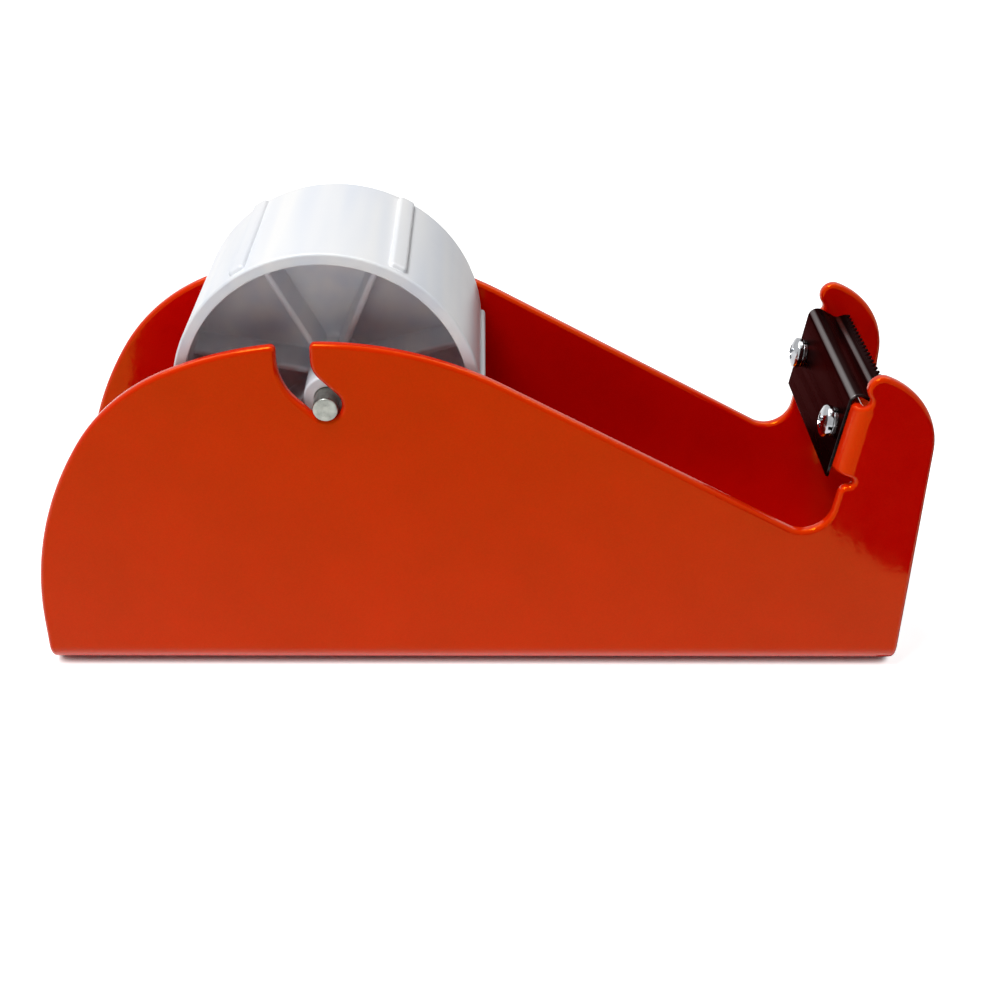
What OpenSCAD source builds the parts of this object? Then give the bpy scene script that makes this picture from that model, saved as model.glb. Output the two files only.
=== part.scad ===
// Bench tape dispenser: a folded steel channel that carries a tape core on a
// lift-out axle and a bent, serrated cutter blade between two front ears.
// Millimetres. +X runs forward to the blade, +Z is up, the bench is z = 0.

/* [Body] */
// length of the folded body
body_len = 222; // [216:1:246]
// width over the outside of the two side plates
body_w = 59.4; // [58.4:0.2:70]
// thickness of the steel sheet
sheet_t = 3; // [2:0.1:3.2]
// outside radius of the folds along the base
fold_r = 6; // [5:0.1:7]
// distance from the rear end forward to the axle
tail_reach = 75.6; // [72:0.2:80]
// height at which the rear edge starts to curve
tail_z = 14.6; // [12:0.2:16]
// radius of the long curve up the tail
tail_r = 95; // [92:0.5:100]
// radius of the shoulder behind the axle
shoulder_r = 52; // [46:0.5:56]
// radius of the crown over the axle
crown_r = 91; // [85:0.5:97]
// angle the tail curve turns through
tail_turn = 33; // [31:0.5:35]
// angle the shoulder curve turns through
shoulder_turn = 33.5; // [31:0.5:36]
// fall of the straight slope toward the valley
slope_fall = 28.4; // [26:0.2:30]
// radius at the bottom of the valley behind the blade
valley_r = 7; // [5:0.5:9]

/* [Front ears] */
// height of the top of the front ears
ear_top = 86.3; // [85:0.1:90]
// radius over the top of an ear
ear_r = 21; // [19:0.5:22]
// radius of the ear tip behind the blade
ear_tip_r = 3.4; // [3:0.1:4]
// radius of the crook between an ear tip and the flange below it
crook_r = 2; // [1.6:0.1:2.4]
// distance from the front edge back to the foot of the flanges
flange_setback = 23.4; // [22.6:0.1:25]
// height of the foot of the flanges
flange_z = 58.5; // [57.5:0.1:60]
// length of a flange along its fold
flange_h = 18.4; // [17:0.1:18.4]
// reach of a flange inward from the outside of the side plate
flange_reach = 19; // [16:0.5:22]
// forward lean of the flanges and the blade
lean = 8.5; // [6:0.5:11]
// outside radius of the flange folds
bend_r = 5.2; // [5:0.1:6]
// distance from the flanges' rear faces forward to the cut edge below them
edge_setback = 2.4; // [1:0.1:2.6]
// distance from the flanges' rear faces forward to the ear tips
tip_setback = 1.5; // [1:0.1:2.6]
// width of the relief notch below a flange fold
relief_w = 2.4; // [1.6:0.1:2.6]
// radius of the side plate's corner below that notch
lip_r = 2.4; // [1.8:0.1:3]

/* [Base pad] */
// thickness of the non-slip pad
pad_t = 0.8; // [0.5:0.1:2]
// margin from the body's edges to the pad
pad_margin = 6; // [5:0.5:10]

/* [Axle and slots] */
// depth of the axle centre below the top of the crown, when it rests in its slots
axle_drop = 16.65414; // [15.65414:0.2:18.65414]
// axle rod diameter
rod_d = 6; // [5:0.1:6.4]
// length of rod that stands proud at each side
rod_proud = 0.6; // [0.2:0.1:2]
// chamfer on the rod's ends
rod_chamfer = 0.4; // [0.2:0.1:0.8]
// width of a slot
slot_w = 7.8; // [7.4:0.1:8.2]
// radius of the slot's middle line in its bend
slot_r = 10.6; // [10:0.1:11]
// angle the slot turns through in its bend
slot_turn = 45; // [43:0.5:47]
// length of the slot's slanted run from its bend to its seat
slot_run = 5.4; // [5:0.1:5.8]
// gap left under the rod in its seat
seat_gap = 0.05; // [0.02:0.01:0.1]

/* [Tape hub] */
// rim diameter of the hub
hub_d = 73.6; // [70:0.2:75]
// width of the hub
hub_w = 48.4; // [44:0.2:49]
// thickness of the rim
rim_t = 2.8; // [2:0.1:4]
// height of the grip ribs above the rim
rib_h = 1.1; // [0.6:0.1:1.5]
// width of a grip rib
rib_w = 4.2; // [3:0.1:6]
// length of rim left free at each end of a grip rib
rib_end = 1.6; // [1:0.1:8]
// radius of the corners of a grip rib
rib_corner = 1; // [0.5:0.1:1.4]
// number of grip ribs
rib_count = 6; // [4:1:8]
// angle of the first grip rib above level, toward the blade
rib_a = 1.5; // [0:0.5:40]
// diameter of the boss round the axle
boss_d = 11.4; // [10:0.2:14]
// thickness of the web across the middle
web_t = 2.4; // [1.6:0.1:4]
// number of spokes round the boss
spoke_count = 7; // [5:1:9]
// thickness of a spoke
spoke_t = 1.8; // [1.4:0.1:2.6]
// width of the spokes across the web
spoke_w = 23; // [14:0.5:36]
// angle of the first spoke above level, toward the blade
spoke_a = 15.5; // [0:0.5:40]
// running clearance of the boss on the rod, all round
running_gap = 0.08; // [0.05:0.01:0.1]

/* [Cutter blade] */
// thickness of the blade strip
blade_t = 0.8; // [0.6:0.1:1]
// gap between each blade end and the side plate
blade_gap = 1.2; // [1:0.1:3]
// straight height of the blade's rear plate
blade_plate_h = 20.8; // [20.6:0.1:22]
// distance the plate reaches below the foot of the flanges
blade_drop = 2.3; // [1:0.1:2.4]
// inside radius of the blade's bends
blade_bend_r = 1.6; // [1.2:0.1:2]
// length of the shelf that runs forward and down
blade_shelf = 3.9; // [3.2:0.1:5]
// angle of the bend over the top
blade_top_turn = 111; // [106:0.5:114]
// angle of the bend up to the cutting edge
blade_lip_turn = 49; // [40:0.5:55]
// length of the lip to the roots of the teeth
blade_lip = 1.5; // [1:0.1:2]
// pitch of the teeth
tooth_pitch = 2.1; // [1.6:0.1:3]
// depth of the teeth
tooth_depth = 1.4; // [0.8:0.1:1.8]

/* [Blade fasteners] */
// screw thread diameter
screw_d = 4; // [3.5:0.1:4.2]
// distance from the blade's end to a screw
screw_inset = 6; // [5:0.1:8]
// height of the screws above the foot of the flanges
screw_s = 9.8; // [8:0.1:10.5]
// screw length under the head
screw_len = 10; // [9.4:0.1:12]
// screw head diameter
head_d = 8; // [7:0.1:8.4]
// screw head height
head_h = 2.6; // [2.4:0.1:3.4]
// height of the straight edge of a screw head, under its dome
head_edge = 1.5; // [0.4:0.1:1.8]
// length of the cross recess in the head
recess_len = 4.4; // [3.6:0.1:4.8]
// width of the cross recess in the head
recess_w = 1.1; // [0.8:0.1:1.4]
// depth of the cross recess in the head
recess_depth = 1.6; // [1:0.1:1.8]
// outside diameter of a spring washer
washer_d = 7.4; // [6.6:0.1:7.6]
// thickness of a spring washer
washer_t = 1.1; // [0.8:0.1:1.4]
// width of the cut through a spring washer
washer_cut = 0.6; // [0.4:0.1:1]
// nut width across its flats
nut_af = 7; // [6.5:0.1:7.4]
// nut height
nut_h = 3.2; // [2.6:0.1:3.4]
// clearance all round the screw in the blade and flange
hole_gap = 0.25; // [0.15:0.05:0.4]
// clearance all round the screw in washer and nut
thread_gap = 0.05; // [0.03:0.01:0.1]

/* [Hidden] */
$fn = 96;
// overlap of cutting shapes past the faces they cut
over = 1;
// depth by which an arc crosses the arc, line or face that it runs into
blend = 0.01;
// angle that an arc runs on past that crossing
lap = 12;
rear_x = -body_len / 2;
front_x = body_len / 2;
axle_x = rear_x + tail_reach;
inside_w = body_w - 2 * sheet_t;

function dir(a) = [cos(a), sin(a)];
function cross2(a, b) = a[0] * b[1] - a[1] * b[0];
// where two lines meet, each a point and a direction
function meet(p, d, q, e) = p + d * cross2(q - p, e) / cross2(d, e);

// the three tangent curves of the back, from the tail to the slope
shoulder_a = 180 - tail_turn;
crown_a = shoulder_a - shoulder_turn;
slope_a = 90 - slope_fall;
tail_c = [rear_x + tail_r, tail_z];
shoulder_c = tail_c + (tail_r - shoulder_r) * dir(shoulder_a);
crown_c = shoulder_c + (shoulder_r - crown_r) * dir(crown_a);
tail_end = tail_c + (tail_r - over) * dir(shoulder_a);
shoulder_end = shoulder_c + (shoulder_r - over) * dir(crown_a);
crown_end = crown_c + (crown_r - blend) * dir(slope_a);

// height of the axle centre
axle_h = crown_c[1] + crown_r - axle_drop;

// the line of the flanges' rear faces, the cut edge below it, and the valley that runs into that
flange_foot = [front_x - flange_setback, flange_z];
flange_dir = dir(90 - lean);
plate_edge = flange_foot + edge_setback * dir(-lean);
slope_dir = dir(-slope_fall);
valley_c = meet(crown_end + valley_r * dir(slope_a), slope_dir,
                plate_edge + valley_r * dir(180 - lean), flange_dir);
valley_rear = valley_c - valley_r * dir(slope_a);
valley_front = valley_c - valley_r * dir(180 - lean);

// the ear's top curve, and in the flange's frame its round tip and the crook between that and the flange
ear_c = [front_x - ear_r, ear_top - ear_r];
ear_mid = [(ear_c - flange_foot) * dir(-lean), (ear_c - flange_foot) * flange_dir];
tip_x = tip_setback + ear_tip_r;
tip_c = [tip_x, ear_mid[1] + sqrt(pow(ear_r - ear_tip_r, 2) - pow(tip_x - ear_mid[0], 2))];
tip_rise = tip_c[1] - flange_h - crook_r;
crook_c = [tip_x - sqrt(pow(ear_tip_r + crook_r, 2) - pow(tip_rise, 2)), flange_h + crook_r];
crook_foot = crook_c - [0, crook_r + over];

// side view of a point in the flange's frame, and the angle at which the ear's curve runs into its tip
function on_side(p) = flange_foot + p[0] * dir(-lean) + p[1] * flange_dir;
tip_a = atan2(tip_c[1] - ear_mid[1], tip_c[0] - ear_mid[0]) - lean;

// round end of the notch in the flange's frame, and the round corner that it runs into
notch_r = relief_w / 2;
notch_c = [bend_r - notch_r, -notch_r];
lip_x = edge_setback + lip_r;
lip_c = [lip_x - blend, notch_c[1] - sqrt(pow(notch_r + lip_r, 2) - pow(lip_x - notch_c[0], 2))];
fold_len = crook_c[1] - notch_c[1];

// the hooked slot: its round end sits over the axle, its slanted run bends upright
seat_r = slot_w / 2 + 2 * blend;
slot_end = [axle_x, axle_h + seat_r - rod_d / 2 - seat_gap];
slot_c = slot_end + slot_run * dir(90 + slot_turn) - slot_r * dir(180 + slot_turn);
slot_in = slot_r - slot_w / 2;
slot_out = slot_r + slot_w / 2;
// overlap of the slot's run and bend: past the crossing of one pair of walls, short of the other's
slot_lap = (sqrt(2 * slot_in * blend) + sqrt(2 * slot_out * blend)) / 2;
slot_lap_a = (sqrt(2 * blend / slot_in) + sqrt(2 * blend / slot_out)) / 2 * 180 / PI;

// the blade's two bends in the flange's frame, and which way its shelf and lip face
blade_bend_out = blade_bend_r + blade_t;
shelf_up = 180 - blade_top_turn;
lip_up = shelf_up + blade_lip_turn;
top_bend_c = [blade_bend_r, blade_plate_h - blade_drop];
lip_bend_c = top_bend_c + (blade_bend_out + blade_bend_r) * dir(shelf_up)
             + blade_shelf * dir(shelf_up - 90);
lip_long = (blade_lip + tooth_depth + over) * dir(lip_up - 90);
blade_w = inside_w - 2 * blade_gap;
screw_y = blade_w / 2 - screw_inset;
tooth_count = floor(blade_w / tooth_pitch);
tooth_step = blade_w / tooth_count;

// wedge between two angles less than 180 degrees apart, past the circle of radius r
module wedge(c, r, a0, a1) {
  reach = 2 * r / cos((a1 - a0) / 2);
  polygon([c, c + reach * dir(a0), c + reach * dir((a0 + a1) / 2), c + reach * dir(a1)]);
}

// slice of a disc
module sector(c, r, a0, a1) {
  intersection() {
    translate(c) circle(r);
    wedge(c, r, a0, a1);
  }
}

// what a bend takes off a strip with a sharp outer corner and a straight inner one
module bend_cut(c, r_in, r_out, a0, a1) {
  translate(c) circle(r_in);
  difference() {
    wedge(c, r_out, a0, a1);
    translate(c) circle(r_out);
  }
}

// bent corner of sheet: a ring slice between two angles
module ring_sector(r_in, r_out, a0, a1) {
  difference() {
    sector([0, 0], r_out, a0, a1);
    circle(r_in);
  }
}

// what a round corner takes off a square one that has its material in +x +y
module corner_cut(r) {
  difference() {
    translate([-over, -over]) square(r + over);
    translate([r, r]) circle(r);
  }
}

// 2-D frame of a flange: x runs forward from its rear face, y up along it
module at_flange() {
  translate(flange_foot) rotate(-lean) children();
}

// side view of the body before the flanges and slots
module side_outline() {
  difference() {
    union() {
      polygon([[rear_x, 0], [rear_x, tail_z], tail_end, shoulder_end, crown_end, valley_rear, valley_front,
               plate_edge, on_side(crook_foot), on_side(crook_c), on_side(tip_c),
               [front_x, ear_c[1]], [front_x, 0]]);
      sector(tail_c, tail_r, shoulder_a, 180);
      sector(shoulder_c, shoulder_r + blend, crown_a - lap, shoulder_a + lap);
      sector(crown_c, crown_r, slope_a - lap, crown_a);
      sector(ear_c, ear_r, 0, tip_a);
      translate(on_side(tip_c)) circle(ear_tip_r + blend);
    }
    translate(valley_c) circle(valley_r + blend);
    translate([rear_x - over, pad_t - body_len]) square([body_len + 2 * over, body_len]);
  }
}

// hooked slot that the axle drops into; its slanted run stands a hair to one side, so that its walls cross
// those of the seat and of the bend
module axle_slot() {
  translate(slot_end) circle(seat_r);
  translate(slot_end) rotate(slot_turn) translate([blend - slot_w / 2, 0])
    square([slot_w, slot_run + slot_lap]);
  translate(slot_c) ring_sector(slot_in, slot_out, 180, 180 + slot_turn + slot_lap_a);
  translate(slot_c - [slot_out, 0]) square([slot_w, body_len]);
}

// side view of where the flanges stand, from the notch to their top edges
module flange_tab() {
  at_flange() translate([0, notch_c[1]]) square([2 * bend_r, flange_h - notch_c[1]]);
}

// side view of the notch below a flange: its round end, its straight run, and what the corner below it leaves
module fold_notch() {
  at_flange() {
    translate(notch_c) circle(notch_r + blend);
    translate([-2 * over, notch_c[1] - notch_r]) square([notch_c[0] + 2 * over, relief_w]);
    difference() {
      polygon([notch_c, lip_c, [-2 * over, lip_c[1]], [-2 * over, notch_c[1]]]);
      translate(lip_c) circle(lip_r);
    }
  }
}

// side view of the crook above a flange
module ear_crook() {
  at_flange() translate(crook_c) circle(crook_r + blend);
}

// cross-section of the room between the side plates, looking forward
module room_section() {
  difference() {
    translate([-inside_w / 2, pad_t + sheet_t]) square([inside_w, body_len]);
    for (s = [0, 1]) mirror([s, 0])
      translate([-inside_w / 2, pad_t + sheet_t]) corner_cut(fold_r - sheet_t);
  }
}

// cross-section of what the two folds along the base take off
module fold_section() {
  for (s = [0, 1]) mirror([s, 0]) translate([-body_w / 2, pad_t]) corner_cut(fold_r);
}

// 3-D frame of the flanges on the centre plane: x forward, z up along them
module at_flanges() {
  translate([flange_foot[0], 0, flange_foot[1]]) rotate([0, lean, 0]) children();
}

// section across one flange and the inside of its fold, from the middle of the side plate inward
module flange_section() {
  fold_in = bend_r - sheet_t;
  translate([-over, -sheet_t / 2]) square([sheet_t + over, flange_reach - sheet_t / 2]);
  difference() {
    translate([0, -sheet_t / 2]) square([bend_r, fold_in + sheet_t / 2]);
    translate([bend_r - blend, fold_in - blend]) circle(fold_in);
  }
}

// something drawn at the right side, and its mirror image at the left
module both_sides() {
  children();
  mirror([0, 1, 0]) children();
}

// the flanges where they stand in the room between the side plates
module flanges() {
  both_sides() at_flanges() translate([0, -inside_w / 2, notch_c[1]])
    linear_extrude(flange_h - notch_c[1]) flange_section();
}

// what the outside of the flange folds takes off the side plates
module flange_fold_cuts() {
  both_sides() at_flanges() translate([0, -body_w / 2 - blend, notch_c[1]])
    linear_extrude(fold_len) corner_cut(bend_r);
}

// hole through blade and flange at one side, along x
module screw_hole() {
  translate([-blade_t - over, -screw_y, screw_s]) rotate([0, 90, 0])
    cylinder(d = screw_d + 2 * hole_gap, h = blade_t + sheet_t + 2 * over);
}

// something drawn looking forward, run through the whole length of the body
module along_body() {
  translate([rear_x - over, 0, 0]) rotate([90, 0, 90]) linear_extrude(body_len + 2 * over) children();
}

// something drawn from the side, run across a width
module across_body(width) {
  rotate([90, 0, 0]) linear_extrude(width, center = true) children();
}

module channel_body() {
  color("#c63a06") difference() {
    union() {
      across_body(body_w) side_outline();
      across_body(body_w) flange_tab();
    }
    across_body(body_w + 2 * over) axle_slot();
    across_body(body_w + 2 * over) fold_notch();
    across_body(body_w + 2 * over) ear_crook();
    along_body() fold_section();
    difference() {
      along_body() room_section();
      flanges();
    }
    flange_fold_cuts();
    both_sides() at_flanges() screw_hole();
  }
}

module base_pad() {
  color("#202020") translate([rear_x + pad_margin, -body_w / 2 + pad_margin, 0])
    cube([body_len - 2 * pad_margin, body_w - 2 * pad_margin, pad_t]);
}

module axle_rod() {
  half = body_w / 2 + rod_proud;
  color("#a8aaa4") translate([axle_x, 0, axle_h]) rotate([90, 0, 0]) rotate_extrude()
    polygon([[0, -half], [rod_d / 2 - rod_chamfer, -half], [rod_d / 2, -half + rod_chamfer],
             [rod_d / 2, half - rod_chamfer], [rod_d / 2 - rod_chamfer, half], [0, half]]);
}

// outline of a grip rib, its corners rounded
module rib_outline() {
  long = hub_w - 2 * rib_end;
  square([long, rib_w - 2 * rib_corner], center = true);
  square([long - 2 * rib_corner, rib_w], center = true);
  for (x = [-1, 1], y = [-1, 1]) translate([x * (long / 2 - rib_corner), y * (rib_w / 2 - rib_corner)])
    circle(rib_corner);
}

// grip ribs along the rim
module grip_ribs() {
  for (i = [0 : rib_count - 1]) rotate(rib_a + i * 360 / rib_count) intersection() {
    cylinder(r = hub_d / 2 + rib_h, h = hub_w, center = true);
    rotate([0, 90, 0]) translate([0, 0, (hub_d - rim_t) / 2]) linear_extrude(hub_d) rib_outline();
  }
}

// spokes from the boss to the rim, through the web
module spokes() {
  reach = (hub_d - rim_t) / 2;
  for (i = [0 : spoke_count - 1]) rotate(spoke_a + i * 360 / spoke_count)
    translate([0, -spoke_t / 2, -spoke_w / 2]) cube([reach, spoke_t, spoke_w]);
}

module tape_hub() {
  color("#f0f0ee") translate([axle_x, 0, axle_h]) rotate([90, 0, 0]) difference() {
    union() {
      difference() {
        union() {
          cylinder(d = hub_d, h = hub_w, center = true);
          grip_ribs();
        }
        cylinder(d = hub_d - 2 * rim_t, h = hub_w + 2 * over, center = true);
      }
      cylinder(d = hub_d - rim_t, h = web_t, center = true);
      cylinder(d = boss_d, h = hub_w, center = true);
      spokes();
    }
    cylinder(d = rod_d + 2 * running_gap, h = hub_w + 2 * over, center = true);
  }
}

// side view of the blade in the flange's frame: plate, bend over the top, shelf and lip
module blade_outline() {
  difference() {
    polygon([[-blade_t, -blade_drop],
             top_bend_c + blade_bend_out / cos(blade_top_turn / 2) * dir((shelf_up + 180) / 2),
             lip_bend_c - blade_bend_r * dir(shelf_up),
             lip_bend_c - blade_bend_r * dir(lip_up),
             lip_bend_c - blade_bend_r * dir(lip_up) + lip_long,
             lip_bend_c - blade_bend_out * dir(lip_up) + lip_long,
             lip_bend_c - blade_bend_out / cos(blade_lip_turn / 2) * dir((shelf_up + lip_up) / 2),
             top_bend_c + blade_bend_r * dir(shelf_up),
             top_bend_c - [blade_bend_r, 0],
             [0, -blade_drop]]);
    bend_cut(top_bend_c, blade_bend_r, blade_bend_out, shelf_up, 180);
    bend_cut(lip_bend_c, blade_bend_r, blade_bend_out, 180 + shelf_up, 180 + lip_up);
  }
}

// what is cut off the front of the lip to leave its row of teeth
module tooth_gaps() {
  far = blade_lip + tooth_depth + 2 * over;
  edge = [for (i = [0 : tooth_count - 1]) each [[blade_lip, i * tooth_step],
                                                [blade_lip + tooth_depth, (i + 0.5) * tooth_step]]];
  polygon(concat([[far, -over], [blade_lip, -over]], edge,
                 [[blade_lip, blade_w], [blade_lip, blade_w + over], [far, blade_w + over]]));
}

module cutter_blade() {
  color("#141012") at_flanges() difference() {
    rotate([90, 0, 0]) linear_extrude(blade_w, center = true) blade_outline();
    translate([lip_bend_c[0], -blade_w / 2, lip_bend_c[1]]) rotate([0, 90 - lip_up, 0])
      translate([0, 0, -blade_bend_out - over]) linear_extrude(blade_t + 2 * over) tooth_gaps();
    both_sides() screw_hole();
  }
}

// frame of one screw: z runs forward from the blade's rear face; side -1 is the right
module at_screw(side) {
  at_flanges() translate([-blade_t, side * screw_y, screw_s]) rotate([0, 90, 0]) children();
}

module blade_screw(side) {
  dome_h = head_h - head_edge;
  dome_r = (pow(head_d / 2, 2) + pow(dome_h, 2)) / (2 * dome_h);
  at_screw(side) translate([0, 0, -washer_t]) {
    difference() {
      intersection() {
        translate([0, 0, -head_h]) cylinder(d = head_d, h = head_h);
        translate([0, 0, dome_r - head_h]) sphere(dome_r);
      }
      for (a = [45, 135]) rotate(a) translate([-recess_len / 2, -recess_w / 2, -head_h - over])
        cube([recess_len, recess_w, recess_depth + over]);
    }
    cylinder(d = screw_d, h = screw_len);
  }
}

module spring_washer(side) {
  at_screw(side) translate([0, 0, -washer_t]) difference() {
    cylinder(d = washer_d, h = washer_t);
    translate([0, 0, -over]) cylinder(d = screw_d + 2 * thread_gap, h = washer_t + 2 * over);
    rotate([20, 0, 200]) translate([0, -washer_cut / 2, -3 * washer_t])
      cube([washer_d, washer_cut, 6 * washer_t]);
  }
}

module blade_nut(side) {
  at_screw(side) translate([0, 0, blade_t + sheet_t]) difference() {
    rotate(30) cylinder(d = nut_af / cos(30), h = nut_h, $fn = 6);
    translate([0, 0, -over]) cylinder(d = screw_d + 2 * thread_gap, h = nut_h + 2 * over);
  }
}

module blade_screw_right() { color("#d4d6d8") blade_screw(-1); }
module blade_screw_left() { color("#d4d6d8") blade_screw(1); }
module spring_washer_right() { color("#55575a") spring_washer(-1); }
module spring_washer_left() { color("#55575a") spring_washer(1); }
module blade_nut_right() { color("#c0c2c4") blade_nut(-1); }
module blade_nut_left() { color("#c0c2c4") blade_nut(1); }

channel_body();
base_pad();
axle_rod();
tape_hub();
cutter_blade();
blade_screw_right();
blade_screw_left();
spring_washer_right();
spring_washer_left();
blade_nut_right();
blade_nut_left();
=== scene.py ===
"""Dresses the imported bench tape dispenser: folded painted sheet, moulded hub, black blade and fasteners."""
import math

import bpy
import numpy as np
from mathutils import Matrix, Vector
from mathutils.geometry import delaunay_2d_cdt


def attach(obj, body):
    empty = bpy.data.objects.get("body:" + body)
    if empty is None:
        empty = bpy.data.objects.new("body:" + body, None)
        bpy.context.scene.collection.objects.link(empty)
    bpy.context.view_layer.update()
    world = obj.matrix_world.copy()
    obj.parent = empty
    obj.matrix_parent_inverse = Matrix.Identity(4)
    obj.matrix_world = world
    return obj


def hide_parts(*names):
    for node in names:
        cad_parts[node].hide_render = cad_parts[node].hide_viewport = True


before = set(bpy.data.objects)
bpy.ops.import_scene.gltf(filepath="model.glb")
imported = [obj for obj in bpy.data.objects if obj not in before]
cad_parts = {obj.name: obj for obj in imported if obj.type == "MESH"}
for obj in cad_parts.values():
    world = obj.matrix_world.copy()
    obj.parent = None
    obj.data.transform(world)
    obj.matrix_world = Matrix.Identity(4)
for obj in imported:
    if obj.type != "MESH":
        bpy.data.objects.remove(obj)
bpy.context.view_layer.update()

MM = 0.001

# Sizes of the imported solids, in millimetres and degrees, and counts; each piece below is drawn from these.
BODY_LEN, BODY_W, SHEET_T, FOLD_R, PAD_T = 222.0, 59.4, 3.0, 6.0, 0.8
TAIL_REACH, TAIL_Z, TAIL_R, SHOULDER_R, CROWN_R = 75.6, 14.6, 95.0, 52.0, 91.0
TAIL_TURN, SHOULDER_TURN, SLOPE_FALL, VALLEY_R = 33.0, 33.5, 28.4, 7.0
EAR_TOP, EAR_R, EAR_TIP_R, CROOK_R = 86.3, 21.0, 3.4, 2.0
FLANGE_SETBACK, FLANGE_Z, FLANGE_H, FLANGE_REACH, LEAN = 23.4, 58.5, 18.4, 19.0, 8.5
BEND_R, EDGE_SETBACK, TIP_SETBACK, RELIEF_W, LIP_R = 5.2, 2.4, 1.5, 2.4, 2.4
AXLE_H, ROD_D, ROD_PROUD, ROD_CHAMFER = 76.6, 6.0, 0.6, 0.4
SLOT_W, SLOT_R, SLOT_TURN, SLOT_RUN, SEAT_GAP = 7.8, 10.6, 45.0, 5.4, 0.05
HUB_D, HUB_W, RIM_T, BOSS_D, WEB_T, RUNNING_GAP = 73.6, 48.4, 2.8, 11.4, 2.4, 0.08
RIB_H, RIB_W, RIB_END, RIB_CORNER, RIB_COUNT, RIB_A = 1.1, 4.2, 1.6, 1.0, 6, 1.5
SPOKE_COUNT, SPOKE_T, SPOKE_W, SPOKE_A = 7, 1.8, 23.0, 15.5
BLADE_T, BLADE_GAP, BLADE_PLATE_H, BLADE_DROP, BLADE_BEND_R = 0.8, 1.2, 20.8, 2.3, 1.6
BLADE_SHELF, BLADE_TOP_TURN, BLADE_LIP_TURN, BLADE_LIP = 3.9, 111.0, 49.0, 1.5
TOOTH_PITCH, TOOTH_DEPTH = 2.1, 1.4
SCREW_D, SCREW_INSET, SCREW_S, SCREW_LEN, HEAD_D, HEAD_H, HEAD_EDGE = 4.0, 6.0, 9.8, 10.0, 8.0, 2.6, 1.5
RECESS_LEN, RECESS_W, RECESS_DEPTH = 4.4, 1.1, 1.6
WASHER_D, WASHER_T, WASHER_CUT, NUT_AF, NUT_H, THREAD_GAP = 7.4, 1.1, 0.6, 7.0, 3.2, 0.05
PAD_MARGIN = 6.0

# Details that only the looks need, in millimetres.
EDGE_ROUND, CORNER_ROUND, FOLD_FADE = 1.2, 1.35, 3.0
BLADE_EDGE, PAD_EDGE, PAD_CORNER = 0.15, 0.2, 3.0
HUB_DRAFT, SPOKE_DRAFT, SPOKE_LAP, SPOKE_FILLET, SPOKE_SINK = 0.3, 0.1, 1.0, 1.4, 0.3
SPOKE_SPREAD, SPOKE_DIP = 0.2, 0.05
THREAD_PITCH, THREAD_DEEP, HEAD_ROUND, HEAD_FOOT_ROUND, RECESS_OVER = 0.7, 0.3, 0.7, 0.25, 0.3
WASHER_ROUND, WASHER_BORE_ROUND, WASHER_BAND = 0.18, 0.1, 0.8
# Half the width of the point where a turned piece ends, how far apart points lie on curves and folds, and how
# many lie round a notch.
AXIS_R, STEP, FOLD_STEP, NOTCH_STEPS = 0.001, 0.5, 0.3, 9
# Shares: of a rib's corner and height that its edges round, of the recess's length and width left at its
# floor, of the nut's half width where its chamfer starts, of the blade's thickness by which its painted
# highlight lines lie above its middle, and of a highlight line's reach that is painted at full strength.
RIB_ROUND, RIB_FOOT, RECESS_FLOOR_LEN, RECESS_FLOOR_W, NUT_FACE = 0.9, 0.2, 0.3, 0.4, 0.96
HIGHLIGHT_RISE, HIGHLIGHT_CORE = 0.75, 0.4
# Angles in degrees: where the washers' cuts lie, and the nuts' chamfer.
WASHER_TURN, NUT_CHAMFER = 200.0, 30.0

# The camera fitted to the photograph: its place in metres; its turn to the right, its tilt down and its roll
# in degrees; its lens and sensor in millimetres.
CAMERA_PLACE = (0.00114, -0.3338, 0.23567)
CAMERA_TURNS = (0.937, 31.167, -0.639)
CAMERA_LENS, SENSOR_W = 52.148, 36.0

# The set, in metres and watts: how bright the world's light is, how much white the floor adds to its own
# where it is seen, and how bright the strip is; then the sheets and the lights.
WORLD_LIGHT, FLOOR_WHITE, STRIP_WHITE = 0.12, 0.85, 4.0
SQUARE = ((-1, -1), (1, -1), (1, 1), (-1, 1))
FLOOR_HALF, FLOOR_Z, CONTACT_REACH = 3.0, -0.0001, 0.004
STRIP_HALF, STRIP_DEPTH, STRIP_Z = 0.9, 0.5, 0.9
NEAR_FLAG = [(0.14, -0.066), (0.124, -0.0745), (0.1185, -0.08), (0.1135, -0.0893), (0.1086, -0.0995),
             (0.06, -0.27), (0.5, -0.27), (0.5, -0.066)]
FRONT_FLAG = [(0.107, 0.1), (0.107, -0.028), (0.5, -0.028), (0.5, 0.1)]
FLAG_Z = 0.0005
KEY_PLACE, KEY_TARGET, KEY_SIZE, KEY_POWER = (-0.27, -0.18, 0.95), (0, 0, 0.05), 0.35, 8.0
FILL_PLACE, FILL_TARGET, FILL_SIZE, FILL_POWER = (-0.1, -1.1, 0.12), (0, 0, 0.06), 0.5, 2.0


def unit(angle):
    """Unit vector at an angle in degrees."""
    return np.array([math.cos(math.radians(angle)), math.sin(math.radians(angle))])


def line(a, b, step=STEP):
    """Points from a to b, about a step apart."""
    a, b = np.asarray(a, float), np.asarray(b, float)
    count = max(2, int(math.ceil(np.linalg.norm(b - a) / step)) + 1)
    return a + np.linspace(0, 1, count)[:, None] * (b - a)


def arc(centre, radius, start, end, step=STEP):
    """Points on an arc between two angles in degrees, about a step apart."""
    count = max(9, int(math.ceil(abs(math.radians(end - start)) * radius / step)) + 1)
    angles = np.radians(np.linspace(start, end, count))
    return np.asarray(centre) + radius * np.stack([np.cos(angles), np.sin(angles)], 1)


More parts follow.
